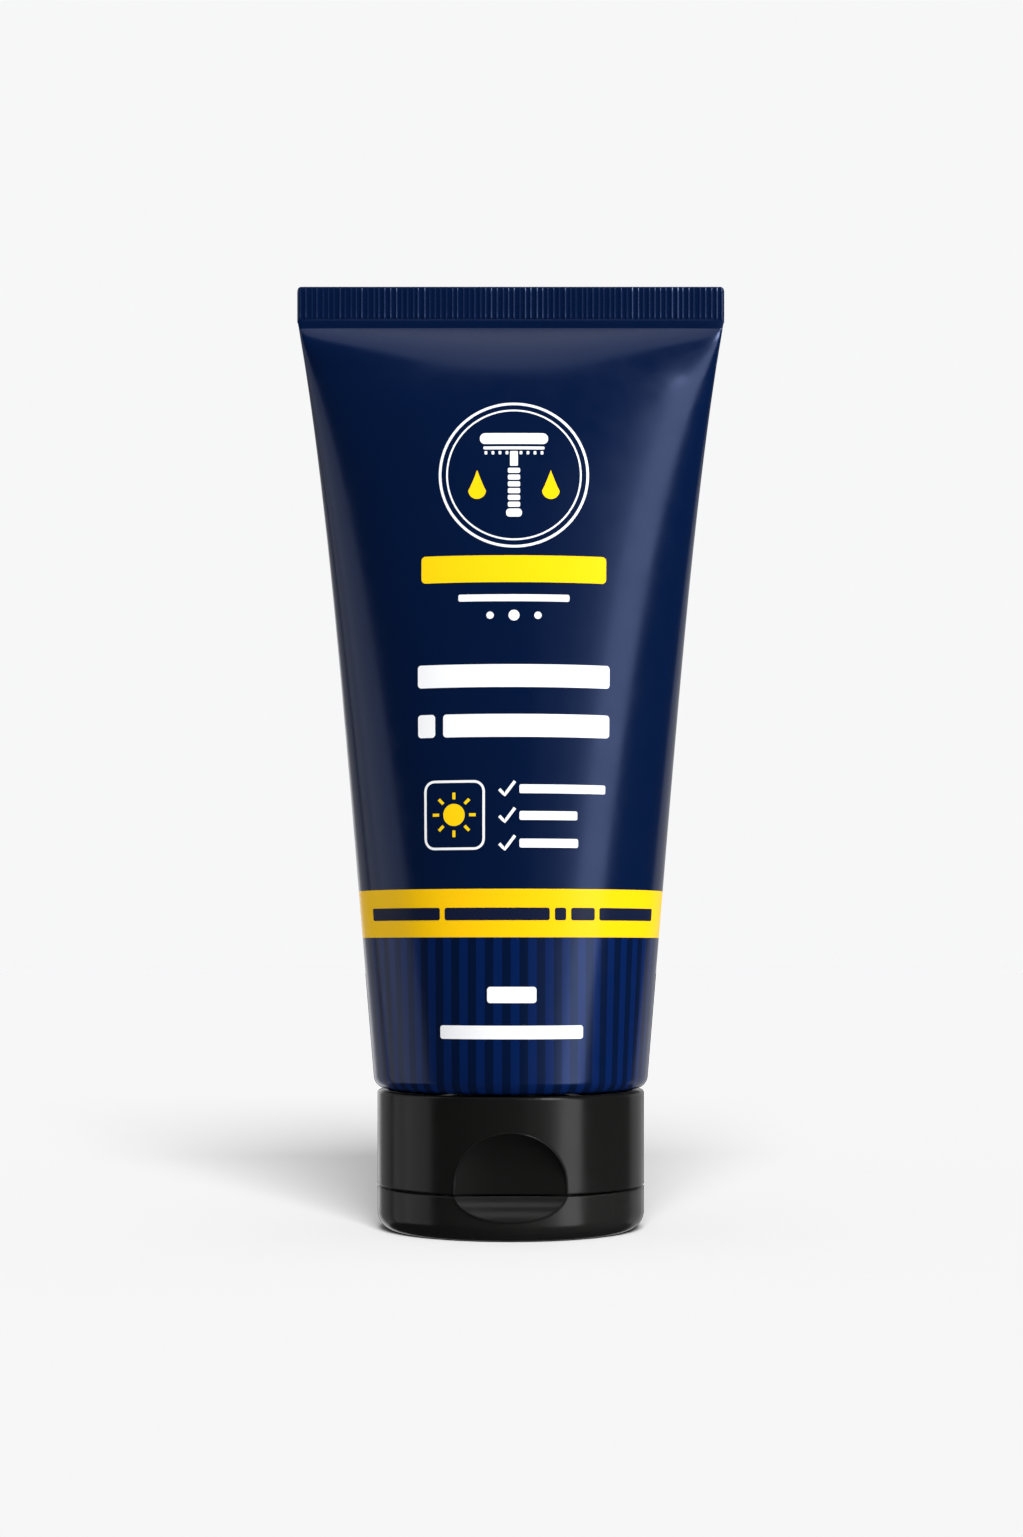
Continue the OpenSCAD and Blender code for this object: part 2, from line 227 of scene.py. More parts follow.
def tint(nodes, links, fac, dark, light):
    """Colour that drifts between two shades with fac."""
    ramp = nodes.new("ShaderNodeValToRGB")
    for element, position, color in zip(ramp.color_ramp.elements, (NOISE_LOW, NOISE_HIGH),
                                        (dark, light)):
        element.position = position
        element.color = (*color, 1)
    links.new(fac, ramp.inputs["Fac"])
    return ramp.outputs["Color"]


def spread(nodes, links, fac, low, high):
    """A number that drifts between low and high with fac."""
    remap = nodes.new("ShaderNodeMapRange")
    remap.inputs["From Min"].default_value = NOISE_LOW
    remap.inputs["From Max"].default_value = NOISE_HIGH
    remap.inputs["To Min"].default_value = low
    remap.inputs["To Max"].default_value = high
    links.new(fac, remap.inputs["Value"])
    return remap.outputs["Result"]


def bump(nodes, links, height, distance, normal):
    """Fine relief that is distance metres deep, on top of another normal where there is one."""
    node = nodes.new("ShaderNodeBump")
    node.inputs["Distance"].default_value = distance
    links.new(height, node.inputs["Height"])
    if normal is not None:
        links.new(normal, node.inputs["Normal"])
    return node.outputs["Normal"]


BROAD_DRIFT = 60
GLOSS_DRIFT = 350
GLOSS_CHANGE = 0.03
EDGE_SAMPLES = 6


def satin_plastic(name, color, variation, roughness, specular, grain, grain_depth, sheen=None,
                  edge_radius=None):
    """Moulded or laminated plastic: slight shade drift, uneven gloss and a fine surface grain.

    grain is in cycles per metre; grain_depth and edge_radius, which rounds sharp edges, are in metres.
    """
    material, nodes, links, shader = new_material(name)
    broad = add_noise(nodes, links, BROAD_DRIFT, 4)
    dark = tuple(c * (1 - variation) for c in color)
    light = tuple(min(1, c * (1 + variation)) for c in color)
    links.new(tint(nodes, links, broad, dark, light), shader.inputs["Base Color"])
    gloss = add_noise(nodes, links, GLOSS_DRIFT, 4)
    links.new(spread(nodes, links, gloss, roughness - GLOSS_CHANGE, roughness + GLOSS_CHANGE),
              shader.inputs["Roughness"])
    shader.inputs["Specular IOR Level"].default_value = specular
    if sheen is not None:
        shader.inputs["Specular Tint"].default_value = (*sheen, 1)
    fine = add_noise(nodes, links, grain, 2)
    soft_edge = None
    if edge_radius is not None:
        bevel = nodes.new("ShaderNodeBevel")
        bevel.samples = EDGE_SAMPLES
        bevel.inputs["Radius"].default_value = edge_radius
        soft_edge = bevel.outputs["Normal"]
    links.new(bump(nodes, links, fine, grain_depth, soft_edge), shader.inputs["Normal"])
    return material


NAVY = (0.0012, 0.0066, 0.0320)
NAVY_SHEEN = (0.42, 0.55, 1.0)
LAMINATE = dict(variation=0.05, roughness=0.20, specular=0.26, sheen=NAVY_SHEEN,
                grain=2600, grain_depth=0.000001)
INK = dict(variation=0.02, roughness=0.24, specular=0.06, grain=2600, grain_depth=0.000001)

laminate_navy = satin_plastic("laminate_navy", NAVY, **LAMINATE)
laminate_yellow = satin_plastic("laminate_yellow", (0.92, 0.54, 0.004), **INK)
stripe_blue = satin_plastic("stripe_blue", (0.0012, 0.0105, 0.066), **LAMINATE)
stripe_dark = satin_plastic("stripe_dark", (0.0011, 0.0056, 0.027), **LAMINATE)
ink_white = satin_plastic("ink_white", (0.86, 0.87, 0.89), **INK)
ink_yellow = satin_plastic("ink_yellow", (0.92, 0.60, 0.006), **INK)
ink_navy = satin_plastic("ink_navy", (0.006, 0.010, 0.030), **INK)
cap_black = satin_plastic("cap_black", (0.0070, 0.0070, 0.0068), variation=0.08, roughness=0.20,
                          specular=0.13, grain=4200, grain_depth=0.000001, edge_radius=0.0003)
head_navy = satin_plastic("head_navy", NAVY, variation=0.06, roughness=0.35,
                          specular=0.25, grain=3000, grain_depth=0.000002)
cream_white = satin_plastic("cream_white", (0.88, 0.86, 0.80), variation=0.03, roughness=0.38,
                            specular=0.5, grain=500, grain_depth=0.00002)
foil_silver = satin_plastic("foil_silver", (0.80, 0.81, 0.83), variation=0.04, roughness=0.30,
                            specular=0.5, grain=1500, grain_depth=0.000006)
foil_silver.node_tree.nodes["Principled BSDF"].inputs["Metallic"].default_value = 1.0


# ---- Sleeve ----

NAVY_SLOT, YELLOW_SLOT, BLUE_STRIPE_SLOT, DARK_STRIPE_SLOT = range(4)
TOP_EDGE_INSET = 0.06


def sleeve_rows():
    """Heights of the outer rows: dense round the shoulder's edge, the print's edges and the fold."""
    corner = [SLEEVE_Z - EDGE_R * math.cos(math.radians(t)) for t in range(0, 90, 9)]
    stripes = np.linspace(SLEEVE_Z, YELLOW_BOTTOM, 9)[:-1]
    band = np.linspace(YELLOW_BOTTOM, YELLOW_TOP, 4)[:-1]
    body = np.linspace(YELLOW_TOP, 84, 24)[:-1]
    flare = np.linspace(84, FOLD_Z - 0.6, 42)[:-1]
    fold = FOLD_Z + np.array([-0.6, -0.35, -0.18, -0.08, 0, 0.06, 0.15])
    seal = [FOLD_Z + 0.5, RIB_Z - 0.08, RIB_Z]
    return [float(z) for z in [*corner, *stripes, *band, *body, *flare, *fold, *seal]]


def printed_slot(z, column):
    """Material of the sleeve's outer face at height z: plain, yellow band or pinstripes."""
    if z > YELLOW_TOP:
        return NAVY_SLOT
    if z > YELLOW_BOTTOM:
        return YELLOW_SLOT
    in_blue = column % COLUMNS_PER_STRIPE < COLUMNS_PER_STRIPE // 2
    return BLUE_STRIPE_SLOT if in_blue else DARK_STRIPE_SLOT


def closing_strips(n, start, up):
    """Faces across a flat row of n points, in strips from +X to -X, that face up or down."""
    quarter = n // 4
    pairs = [((quarter - i, quarter - i - 1), (quarter + i, quarter + i + 1)) for i in range(quarter)]
    pairs += [((-i, -i - 1), (2 * quarter + i, 2 * quarter + i + 1)) for i in range(quarter)]
    faces = []
    for (a, b), (c, d) in pairs:
        corners = (b, a, c, d) if up else (d, c, a, b)
        face = tuple(dict.fromkeys(corner % n + start for corner in corners))
        if len(face) > 2:
            faces.append(face)
    return faces


def build_sleeve():
    """Printed laminate skin from under the shoulder's edge up to the ribs, closed by an inner wall."""
    n = SLEEVE_COLUMNS
    shares = np.arange(n) / n
    outer_z = sleeve_rows()
    outer = [ring(z, shares) for z in outer_z]
    outer[-1] = ring(RIB_Z, shares, TOP_EDGE_INSET)
    under_edge = ring(SHOULDER_Z, shares)
    under_edge[:, 2] = SHOULDER_Z + SLEEVE_WALL
    inner_z = [SLEEVE_Z, *np.linspace(SLEEVE_Z + 4, FOLD_Z - 1.5, 20)]
    inner = [under_edge] + [ring(z, shares, SLEEVE_WALL) for z in inner_z]
    points = np.concatenate(outer + inner)
    inner_start = len(outer) * n
    last_start = inner_start + (len(inner) - 1) * n
    faces = loop_faces(len(outer), n)
    slots = [printed_slot((outer_z[j] + outer_z[j + 1]) / 2, i)
             for j in range(len(outer) - 1) for i in range(n)]
    inner_faces = loop_faces(len(inner), n, inner_start, flip=True)
    mouth = [(inner_start + i, inner_start + (i + 1) % n, (i + 1) % n, i) for i in range(n)]
    ends = closing_strips(n, inner_start - n, True) + closing_strips(n, last_start, False)
    faces += inner_faces + mouth + ends
    slots += [NAVY_SLOT] * (len(inner_faces) + len(mouth) + len(ends))
    return make_object("sleeve_skin", points, faces,
                       [laminate_navy, laminate_yellow, stripe_blue, stripe_dark], slots, 50)


RIB_COUNT = 76
COLUMNS_PER_RIB = 10
RIB_HEIGHT = 0.08
RIB_BASE_T = 0.31
RIB_JITTER = 0.07
RIB_START = 0.25
BEAD_HEIGHT = 0.55
BEAD_UP = 0.38
BEAD_SPREAD = 0.16
CORNER_R = 0.5
SIDE_ROUND = 0.3
SEAL_LEVELS = (0, 0.03, 0.06, 0.09, 0.13, 0.18, 0.25, 0.4, 0.6, 0.8, 0.94, 0.985, 1)


def build_crimp():
    """The ribbed seal: pressed vertical ridges with a small bead at each lower end."""
    rng = random.Random(7)
    pitch = 2 * SEAL_HALF_W / RIB_COUNT
    centres = [(-RIB_COUNT / 2 + i + 0.5) * pitch + rng.uniform(-RIB_JITTER, RIB_JITTER)
               for i in range(RIB_COUNT)]
    strengths = [rng.uniform(0.55, 1.0) for _ in range(RIB_COUNT)]
    widths = [rng.uniform(0.09, 0.14) for _ in range(RIB_COUNT)]
    count = RIB_COUNT * COLUMNS_PER_RIB
    xs = np.linspace(-SEAL_HALF_W, SEAL_HALF_W, count + 1)
    ridge = np.zeros(len(xs))
    for c, strength, width in zip(centres, strengths, widths):
        ridge = np.maximum(ridge, strength * np.exp(-((xs - c) / width) ** 2))
    into_corner = np.clip(np.abs(xs) - (SEAL_HALF_W - CORNER_R), 0, CORNER_R)
    tops = TOP_Z - (CORNER_R - np.sqrt(np.maximum(0, CORNER_R ** 2 - into_corner ** 2)))
    foot = RIB_Z - RIB_START
    into_side = ((np.abs(xs) - SEAL_HALF_W + SIDE_ROUND) / SIDE_ROUND).clip(0, 1)
    end = np.sqrt(np.clip(1 - into_side ** 2, 0.02, 1))
    front, back = [], []
    for level in SEAL_LEVELS:
        z = foot + (tops - foot) * level
        above = z - RIB_Z
        rise = smoothstep(above, 0.0, RIB_START)
        bead = 1 + BEAD_HEIGHT * np.exp(-((above - BEAD_UP) / BEAD_SPREAD) ** 2)
        top_round = 1 - 0.45 * smoothstep(level, 0.93, 1.0)
        wave = RIB_HEIGHT * ridge * rise * bead * end
        half_t = RIB_BASE_T * end * top_round
        front.append(np.stack([xs, -half_t - wave * top_round, z], 1))
        back.append(np.stack([xs, half_t + wave * top_round, z], 1))
    quads = sheet_quads(len(SEAL_LEVELS), len(xs))
    points, faces = thicken(np.concatenate(front), np.concatenate(back), quads)
    return make_object("seal_ribs", points, faces, [laminate_navy], None, 60)


sleeve = build_sleeve()
crimp = build_crimp()


# ---- Print ----

class SleeveMap:
    """Places label coordinates on the sleeve: u is millimetres round from the front's middle."""

    def __init__(self, low, high, step=0.5, columns=1664):
        self.low, self.step, self.columns = low, step, columns
        self.perimeter = 2 * math.pi * TUBE_R
        heights = np.arange(low, high + step, step)
        shares = np.arange(columns) / columns
        self.grid = np.array([ring(z, shares) for z in heights])
        along = np.roll(self.grid, -1, 1) - np.roll(self.grid, 1, 1)
        upward = np.gradient(self.grid, axis=0)
        normal = np.cross(along, upward)
        self.normal = normal / np.linalg.norm(normal, axis=2, keepdims=True)

    def place(self, flat, lift):
        """Points on the sleeve for rows of (u, z), lifted along the surface's normal."""
        flat = np.asarray(flat, float)
        column = np.mod(flat[:, 0] / self.perimeter, 1) * self.columns
        row = np.clip((flat[:, 1] - self.low) / self.step, 0, len(self.grid) - 1.001)
        i, j = column.astype(int), row.astype(int)
        fi, fj = (column - i)[:, None], (row - j)[:, None]
        k = (i + 1) % self.columns
        i = i % self.columns

        def mix(table):
            lower = table[j, i] * (1 - fi) + table[j, k] * fi
            upper = table[j + 1, i] * (1 - fi) + table[j + 1, k] * fi
            return lower * (1 - fj) + upper * fj

        return mix(self.grid) + mix(self.normal) * lift


sleeve_map = SleeveMap(SLEEVE_Z, FOLD_Z - 2)

INK_LIFT = 0.02
INK_SINK = 0.06
INK_STEP = 0.4
INK_THINNEST = 0.01
BAR_FOOT = 1e-4


class Ink:
    """Collects flat shapes and turns them into one thin printed piece."""

    def __init__(self):
        self.points, self.faces = [], []

    def add(self, flat, quads):
        flat = np.asarray(flat, float) + np.array([LABEL_U, 0])
        top, bottom = sleeve_map.place(flat, INK_LIFT), sleeve_map.place(flat, -INK_SINK)
        points, faces = thicken(top, bottom, quads)
        start = sum(len(p) for p in self.points)
        self.points.append(points)
        self.faces += [tuple(i + start for i in f) for f in faces]

    def columns(self, us, bottoms, tops):
        """Area between a lower and an upper edge, both given at the positions us."""
        n = len(us)
        flat = [(u, z) for u, z in zip(us, bottoms)] + [(u, z) for u, z in zip(us, tops)]
        self.add(flat, [(i, i + 1, n + i + 1, n + i) for i in range(n - 1)])

    def bar(self, u0, u1, z0, z1, radius=None):
        """A bar with round corners, whose lower edge starts BAR_FOOT above z0."""
        radius = min(u1 - u0, z1 - z0) / 2 if radius is None else radius
        radius = min(radius, (z1 - z0) / 2, (u1 - u0) / 2)
        corner = [radius * (1 - math.cos(math.radians(t))) for t in range(0, 91, 10)]
        middle = np.linspace(u0 + radius, u1 - radius, max(2, int((u1 - u0) / INK_STEP)))[1:-1]
        us = [u0 + c for c in corner] + list(middle) + [u1 - c for c in reversed(corner)]
        us = sorted(set(round(u, 5) for u in us))
        cut = []
        for u in us:
            into = max(0, radius - min(u - u0, u1 - u))
            cut.append(radius - math.sqrt(max(0, radius ** 2 - into ** 2)))
        bottoms = [z0 + c + BAR_FOOT for c in cut]
        tops = [max(z1 - c, b + INK_THINNEST) for c, b in zip(cut, bottoms)]
        self.columns(us, bottoms, tops)

    def disc(self, u, z, r):
        self.bar(u - r, u + r, z - r, z + r, r)

    def stroke(self, path, width, closed=False):
        """A line of even width along a path of (u, z) points."""
        path = self.refine(path, closed)
        n = len(path)
        left, right = [], []
        for i in range(n):
            a = path[(i - 1) % n] if closed or i > 0 else path[i]
            b = path[(i + 1) % n] if closed or i < n - 1 else path[i]
            d = (b - a) / np.linalg.norm(b - a)
            side = np.array([-d[1], d[0]]) * width / 2
            left.append(path[i] + side)
            right.append(path[i] - side)
        quads = [(n + i, n + (i + 1) % n, (i + 1) % n, i) for i in range(n if closed else n - 1)]
        self.add(left + right, quads)

    @staticmethod
    def refine(path, closed):
        """The same path with points no further apart than the print's step."""
        path = [np.array(p, float) for p in path]
        ends = path[1:] + ([path[0]] if closed else [])
        out = []
        for a, b in zip(path, ends):
            pieces = max(1, int(math.ceil(np.linalg.norm(b - a) / INK_STEP)))
            out += [a + (b - a) * k / pieces for k in range(pieces)]
        if not closed:
            out.append(path[-1])
        return out

    def circle(self, u, z, r, width):
        steps = max(24, int(30 * r))
        angles = [2 * math.pi * i / steps for i in range(steps)]
        self.stroke([(u + r * math.cos(t), z + r * math.sin(t)) for t in angles], width, True)

    def rounded_box(self, u0, u1, z0, z1, radius, width):
        path = []
        corners = ((u1 - radius, z1 - radius, 0), (u0 + radius, z1 - radius, 90),
                   (u0 + radius, z0 + radius, 180), (u1 - radius, z0 + radius, 270))
        for cu, cz, start in corners:
            for t in range(start, start + 91, 15):
                path.append((cu + radius * math.cos(math.radians(t)),
                             cz + radius * math.sin(math.radians(t))))
        self.stroke(path, width, True)

    def build(self, name, material):
        return make_object(name, np.concatenate(self.points), self.faces, [material], None, 35)


def droplet(ink, u, z, r, tail):
    """A drop with its point up: a round lower half and sides that draw in to the tip."""
    us = [u + r * math.sin(math.radians(t)) for t in range(-90, 91, 9)]
    bottoms = [z - math.sqrt(max(0, r * r - (p - u) ** 2)) for p in us]
    tops = [z + tail * (1 - abs(p - u) / r) ** 1.15 + INK_THINNEST for p in us]
    ink.columns(us, bottoms, tops)


RING_R = 8.6
ROUNDEL_Z = 86.6
RAZOR_TOP = ROUNDEL_Z + 4.9
RAZOR_HALF_W = 3.9
TEETH = 9
TOOTH_PITCH = 0.8
GRIP_RINGS = 6
GRIP_PITCH = 0.8
DROP_U = 4.2


def print_emblem():
    """A generic roundel: two rings, a safety razor and two drops."""
    white.circle(0, ROUNDEL_Z, RING_R - 0.15, 0.3)
    white.circle(0, ROUNDEL_Z, RING_R - 0.95, 0.2)
    white.bar(-RAZOR_HALF_W, RAZOR_HALF_W, RAZOR_TOP - 1.3, RAZOR_TOP, 0.6)
    white.bar(-RAZOR_HALF_W + 0.4, RAZOR_HALF_W - 0.4, RAZOR_TOP - 1.95, RAZOR_TOP - 1.6, 0.15)
    for i in range(TEETH):
        u = TOOTH_PITCH * (i - (TEETH - 1) / 2)
        white.bar(u - 0.16, u + 0.16, RAZOR_TOP - 2.55, RAZOR_TOP - 2.15, 0.1)
    white.bar(-0.45, 0.45, RAZOR_TOP - 3.9, RAZOR_TOP - 2.15, 0.1)
    for i in range(GRIP_RINGS):
        z = RAZOR_TOP - 4.15 - GRIP_PITCH * i
        white.bar(-0.7, 0.7, z - 0.6, z, 0.18)
    white.bar(-0.9, 0.9, RAZOR_TOP - 9.9, RAZOR_TOP - 8.95, 0.4)
    for side in (-1, 1):
        droplet(yellow, side * DROP_U, ROUNDEL_Z - 1.9, 1.0, 2.4)


def print_name():
    """A yellow bar, a thin white bar and three dots, in place of a name, a small line and stars."""
    yellow.bar(-10.6, 10.6, 74.0, 77.1, 0.5)
    white.bar(-6.3, 6.3, 71.8, 72.6, 0.2)
    for u, r in ((-2.7, 0.42), (0, 0.62), (2.7, 0.42)):
        white.disc(u, 70.2, r)


TITLE_HALF_W = 11.05
TITLE_HALF_H = 1.3
TITLE_CORNER = 0.4


def print_titles():
    """Two title bars, the second after a short one."""
    for u0, u1, z in ((-TITLE_HALF_W, TITLE_HALF_W, 63.3), (-TITLE_HALF_W, -9.0, 57.65),
                      (-8.05, TITLE_HALF_W, 57.65)):
        white.bar(u0, u1, z - TITLE_HALF_H, z + TITLE_HALF_H, TITLE_CORNER)


SUN_U = -6.8
SUN_Z = 47.6
SUN_RAYS = 8


def print_sun_sign():
    """A plain sun in a box."""
    white.rounded_box(-10.2, -3.4, 43.8, 51.35, 1.1, 0.28)
    yellow.disc(SUN_U, SUN_Z, 1.25)
    for i in range(SUN_RAYS):
        angle = 2 * math.pi * i / SUN_RAYS
        ray = [(SUN_U + r * math.cos(angle), SUN_Z + r * math.sin(angle)) for r in (1.75, 2.5)]
        yellow.stroke(ray, 0.34)


BAND_TEXT_Z = 36.5


def print_small_lines():
    """Three ticked lines, the words on the yellow band and the two lower lines, as plain bars."""
    for z, length in ((50.5, 10.0), (47.5, 6.6), (44.4, 6.7)):
        white.stroke([(-1.65, z - 0.05), (-1.05, z - 0.7), (0.1, z + 0.85)], 0.34)
        white.bar(0.6, 0.6 + length, z - 0.5, z + 0.5, 0.2)
    for u0, u1 in ((-18.8, -8.5), (-7.9, 4.0), (4.6, 5.9), (6.5, 9.4), (10.0, 18.9)):
        navy.bar(u0, u1, BAND_TEXT_Z - 0.7, BAND_TEXT_Z + 0.7, 0.25)
    white.bar(-3.0, 2.5, 26.6, 28.4, 0.35)
    white.bar(-8.5, 8.0, 22.6, 24.1, 0.3)


white = Ink()
yellow = Ink()
navy = Ink()
print_emblem()
print_name()
print_titles()
print_sun_sign()
print_small_lines()
prints = [white.build("print_white", ink_white), yellow.build("print_yellow", ink_yellow),
          navy.build("print_navy", ink_navy)]

for piece in [sleeve, crimp, *prints]:
    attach(piece, "tube")
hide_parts("tube_sleeve")
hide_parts("tube_sleeve")


# ---- Hinge ----

def bent_band(name, x0, x1, centre_line, thickness, rows):
    """A thin band from base to lid; centre_line gives (z, y), both functions take the share of the way."""
    top, bottom = [], []
    across = 5
    for j in range(rows + 1):
        z, y = centre_line(j / rows)
        t = thickness(j / rows) / 2
        for i in range(across):
            x = x0 + (x1 - x0) * i / (across - 1)
            top.append((x, y + t, z))
            bottom.append((x, y - t, z))
    points, faces = thicken(np.array(top), np.array(bottom), sheet_quads(rows + 1, across))
    band = make_object(name, points, faces, [cap_black], None, 40)
    return band


FILM_T = films_high.y - films_low.y
FILM_HALF_H = (films_high.z - films_low.z) / 2
FILM_W = 1.8
FILM_THINNEST = 0.55
for label, x0 in (("left", films_low.x), ("right", films_high.x - FILM_W)):
    film = bent_band("hinge_film_" + label, x0, x0 + FILM_W,
                     lambda s: (PARTING_Z + FILM_HALF_H * (1 - 2 * s), HINGE_Y - FILM_T / 2),
                     lambda s: FILM_T * (FILM_THINNEST + (1 - FILM_THINNEST) * abs(1 - 2 * s)), 24)
    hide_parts("hinge_films")
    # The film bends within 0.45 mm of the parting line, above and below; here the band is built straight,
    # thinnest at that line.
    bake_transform(film)

SPRING_BOW = 0.35
SPRING_T = 0.4
SPRING_Y = spring_high.y - SPRING_T / 2
SPRING_HALF_H = (spring_high.z - spring_low.z) / 2
spring = bent_band("hinge_snap_band", spring_low.x, spring_high.x,
                   lambda s: (PARTING_Z + SPRING_HALF_H * (1 - 2 * s),
                              SPRING_Y - SPRING_BOW * math.sin(math.pi * s)),
                   lambda s: SPRING_T, 32)
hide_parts("hinge_spring")
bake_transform(spring)


# ---- Lip of the thumb recess ----

CAP_R = lid_high.x
RECESS_HALF_W = 6.3
RECESS_TOP = 12.2
RECESS_DEPTH = 1.9
RECESS_BACK_R = 36
ARCH_TOP_R = 6.6
ARCH_SIDE_R = 5.9
SCOOP_BOTTOM = 2.3
SCOOP_RISE = 0.69
PARTING_GAP = 0.1
LIP_R = 0.13
LIP_SINK = 0.05
LIP_SIDES = 8


def arch_path():
    """Edge of the recess in the cap's base as (x, z): up one side, over the top and down the other."""
    side_x = RECESS_HALF_W - ARCH_SIDE_R
    top_z = RECESS_TOP - ARCH_TOP_R
    side_z = top_z + math.sqrt((ARCH_TOP_R - ARCH_SIDE_R) ** 2 - side_x ** 2)
    join = math.atan2(side_z - top_z, side_x)
    half = [(RECESS_HALF_W, z) for z in np.linspace(PARTING_Z + PARTING_GAP, side_z, 4)[:-1]]
    half += [(side_x + ARCH_SIDE_R * math.cos(t), side_z + ARCH_SIDE_R * math.sin(t))
             for t in np.linspace(0, join, 16)[:-1]]
    half += [(ARCH_TOP_R * math.cos(t), top_z + ARCH_TOP_R * math.sin(t))
             for t in np.linspace(join, math.pi / 2, 10)]
    return [(-x, z) for x, z in half[:-1]] + half[::-1]


def scoop_path():
    """Edge of the scoop in the lid as (x, z), from side to side."""
    drop = PARTING_Z - SCOOP_BOTTOM
    scoop_r = (RECESS_DEPTH ** 2 + drop ** 2 + 2 * SCOOP_RISE * drop) / (2 * RECESS_DEPTH)
    arc_z = PARTING_Z + SCOOP_RISE
    arc_r = math.hypot(scoop_r, SCOOP_RISE)
    axis = CAP_R - RECESS_DEPTH + RECESS_BACK_R
    half = []
    for t in np.linspace(0, 1, 24):
        z = SCOOP_BOTTOM + (drop - PARTING_GAP) * t ** 2
        reach = RECESS_BACK_R - scoop_r + math.sqrt(arc_r ** 2 - (z - arc_z) ** 2)
        turn = math.acos(min(1, (CAP_R ** 2 + axis ** 2 - reach ** 2) / (2 * axis * CAP_R)))
        half.append((CAP_R * math.sin(turn), z))
    return [(-x, z) for x, z in half[:0:-1]] + half


def lip_bead(name, path, body):
    """A fine round bead, partly sunk into the cap's wall, along an edge of the recess."""
    centres = [Vector((x, -math.sqrt(CAP_R ** 2 - x * x), z)) for x, z in path]
    points = []
    for i, centre in enumerate(centres):
        along = (centres[min(i + 1, len(centres) - 1)] - centres[max(i - 1, 0)]).normalized()
        outward = Vector((centre.x, centre.y, 0)).normalized()
        side = along.cross(outward).normalized()
        for k in range(LIP_SIDES):
            turn = 2 * math.pi * k / LIP_SIDES
            offset = outward * (LIP_R * math.cos(turn) - LIP_SINK) + side * LIP_R * math.sin(turn)
            points.append(tuple(centre + offset))
    last = (len(centres) - 1) * LIP_SIDES
    faces = loop_faces(len(centres), LIP_SIDES)
    faces += [tuple(range(LIP_SIDES))[::-1], tuple(range(last, last + LIP_SIDES))]
    bead = make_object(name, points, faces, [cap_black], None, 60)
    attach(bead, body)


lip_bead("recess_lip_base", arch_path(), "cap")
lip_bead("recess_lip_lid", scoop_path(), "lid")


# ---- CAD nodes that stay ----

CAD_MATERIALS = {"tube_head": head_navy, "foil_seal": foil_silver, "cream_fill": cream_white,
                 "cap_base": cap_black, "cap_lid": cap_black}
for node, material in CAD_MATERIALS.items():
    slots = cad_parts[node].data.materials
    slots.clear()
    slots.append(material)


# ---- Floor, lights and camera ----

FLOOR_HALF = 3.0


def make_floor():
    """Pale floor that only catches shadows, and that lights and reflections pass by."""
    mesh = bpy.data.meshes.new("floor")
    corners = [(x * FLOOR_HALF, y * FLOOR_HALF, 0) for x, y in ((-1, -1), (1, -1), (1, 1), (-1, 1))]
    mesh.from_pydata(corners, [], [(0, 1, 2, 3)])
    floor = bpy.data.objects.new("floor", mesh)
    bpy.context.scene.collection.objects.link(floor)
    material, nodes, links, shader = new_material("floor_paper")
    shader.inputs["Base Color"].default_value = (0.9, 0.9, 0.9, 1)
    shader.inputs["Roughness"].default_value = 0.9
    mesh.materials.append(material)
    floor.is_shadow_catcher = True
    floor.visible_glossy = False
    floor.visible_shadow = False
    return floor


def make_world(backdrop, ambient):
    """Pale backdrop for the camera, and dimmer ambient light for the surfaces."""
    world = bpy.data.worlds.new("studio")
    bpy.context.scene.world = world
    world.use_nodes = True
    nodes, links = world.node_tree.nodes, world.node_tree.links
    nodes.clear()
    out = nodes.new("ShaderNodeOutputWorld")
    seen, light = nodes.new("ShaderNodeBackground"), nodes.new("ShaderNodeBackground")
    seen.inputs["Color"].default_value = (*backdrop, 1)
    light.inputs["Color"].default_value = (1, 1, 1, 1)
    light.inputs["Strength"].default_value = ambient
    path, mix = nodes.new("ShaderNodeLightPath"), nodes.new("ShaderNodeMixShader")
    links.new(path.outputs["Is Camera Ray"], mix.inputs["Fac"])
    links.new(light.outputs["Background"], mix.inputs[1])
    links.new(seen.outputs["Background"], mix.inputs[2])
    links.new(mix.outputs["Shader"], out.inputs["Surface"])


def receivers(name, obj, state):
    """A light's list of receivers that includes only, or leaves out only, one object."""
    group = bpy.data.collections.new(name)
    group.objects.link(obj)
    group.collection_objects[0].light_linking.link_state = state
    return group


def area_light(name, location, facing, width, height, radiance, group):
    """A rectangular light of even radiance, with its height upright."""
    data = bpy.data.lights.new(name, "AREA")
    data.shape = "RECTANGLE"
    data.size, data.size_y = width, height
    data.energy = radiance * math.pi * width * height
    light = bpy.data.objects.new(name, data)
    bpy.context.scene.collection.objects.link(light)
    light.location = location
    light.rotation_euler = Vector(facing).to_track_quat("-Z", "Y").to_euler()
    light.light_linking.receiver_collection = group


STUDIO_R = 0.8


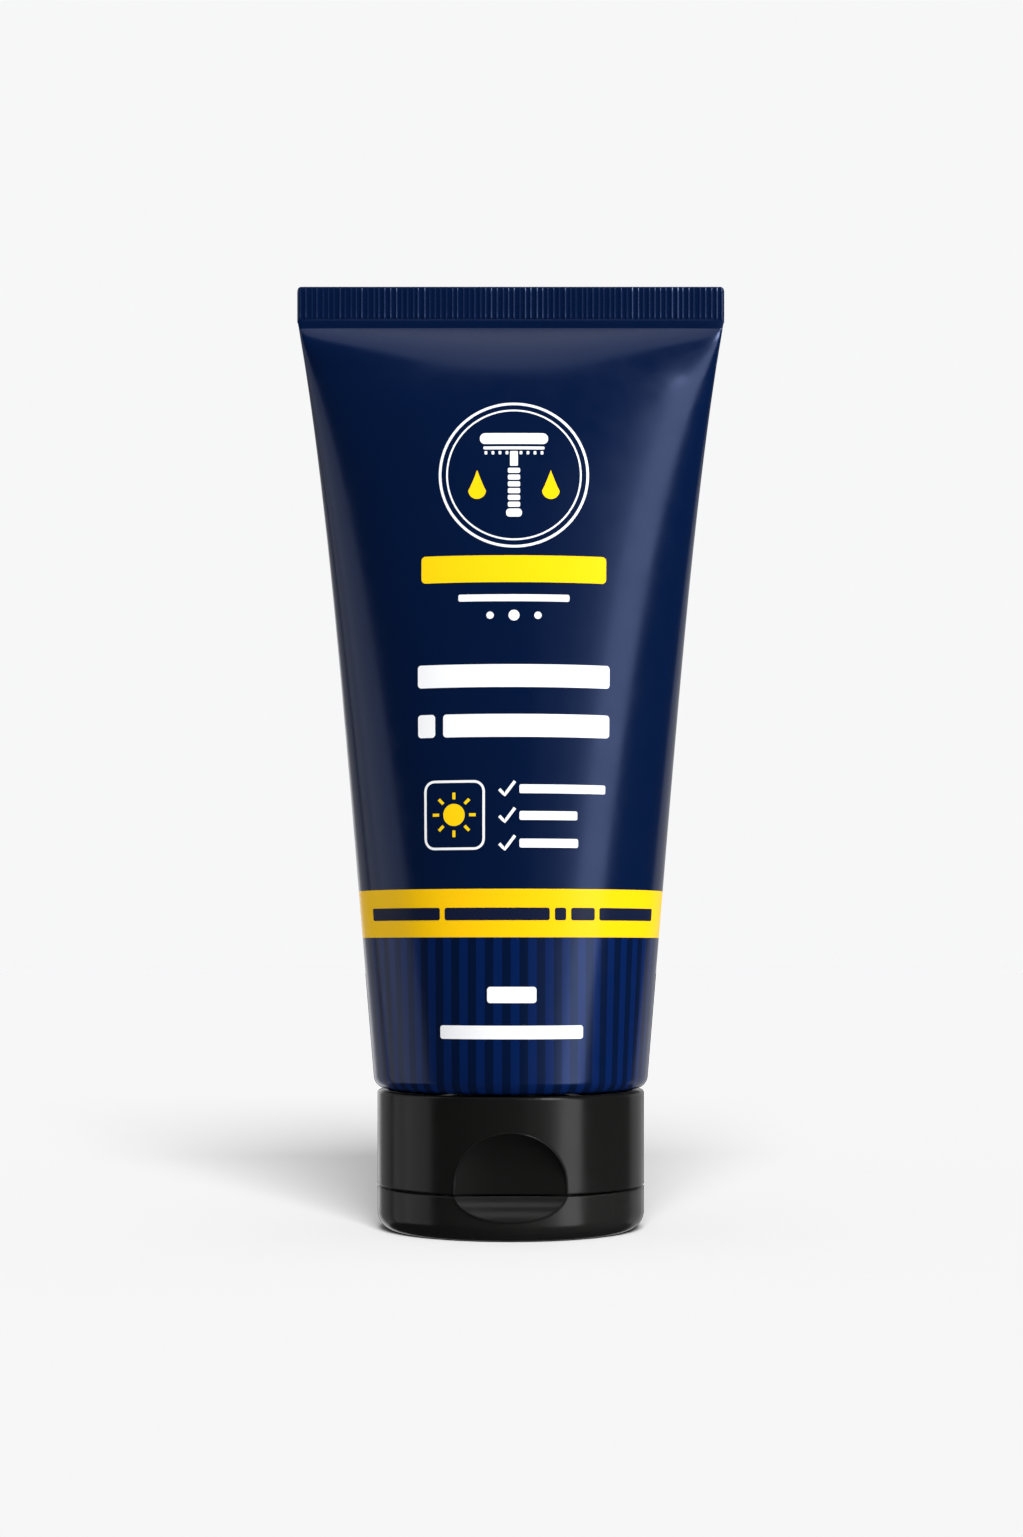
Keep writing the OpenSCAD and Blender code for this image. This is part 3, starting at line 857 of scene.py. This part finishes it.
def panel(name, start, end, low, high, radiance):
    """An upright softbox; start and end are degrees to the right of the camera's side, seen from above."""
    middle, half = math.radians((start + end) / 2), math.radians(abs(end - start) / 2)
    outward = Vector((math.sin(middle), -math.cos(middle), 0))
    location = outward * STUDIO_R * math.cos(half) + Vector((0, 0, (low + high) / 2))
    area_light(name, location, -outward, 2 * STUDIO_R * math.sin(half), high - low, radiance,
               not_floor)


floor = make_floor()
not_floor = receivers("all_but_floor", floor, "EXCLUDE")
only_floor = receivers("floor_alone", floor, "INCLUDE")
only_lid = receivers("lid_alone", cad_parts["cap_lid"], "INCLUDE")
make_world((0.930, 0.930, 0.938), 0.02)
LOW = -0.3
SPLIT = 0.62
HIGH = 1.3
RIM_TOP = 0.2
panel("left_softbox", -102, -71, LOW, HIGH, 1.4)
panel("left_soft_edge", -120, -102, LOW, SPLIT, 0.8)
panel("left_rim", -172, -152, LOW, RIM_TOP, 0.7)
panel("right_softbox", 42, 62, LOW, SPLIT, 6.0)
panel("right_softbox_top", 42, 62, SPLIT, HIGH, 27.0)
for start, end, radiance in ((35, 42, 2.2), (26, 35, 0.9), (12, 26, 0.4)):
    panel("right_soft_edge", start, end, LOW, SPLIT, radiance)
panel("right_rim", 124, 168, LOW, RIM_TOP, 0.5)
panel("back_fill", 168, 192, LOW, HIGH, 0.7)
panel("left_back", -165, -125, LOW, HIGH, 0.38)
area_light("overhead", (0, -0.12, 0.85), (0, 0, -1), 0.9, 0.56, 1.7, not_floor)
area_light("scoop_glow", (0, -0.56, 0.50), (0, 0.56, -0.50), 0.5, 0.18, 2.4, only_lid)
area_light("floor_ambient", (0, 0, 1.2), (0, 0, -1), 3.6, 3.6, 0.25, only_floor)
area_light("floor_key", (0.09, -0.90, 0.75), (-0.09, 0.90, -0.75), 0.5, 0.5, 18.0, only_floor)

camera_data = bpy.data.cameras.new("camera")
camera_data.sensor_width = 36
camera_data.lens = 56.2
camera_data.shift_x = 0.0005
camera_data.shift_y = 0.118
camera_data.clip_start, camera_data.clip_end = 0.01, 20
camera = bpy.data.objects.new("camera", camera_data)
bpy.context.scene.collection.objects.link(camera)
camera.location = (0, -0.281, 0.0325)
camera.rotation_euler = (math.radians(90), 0, 0)
bpy.context.scene.camera = camera
bpy.context.scene.view_settings.view_transform = "Standard"
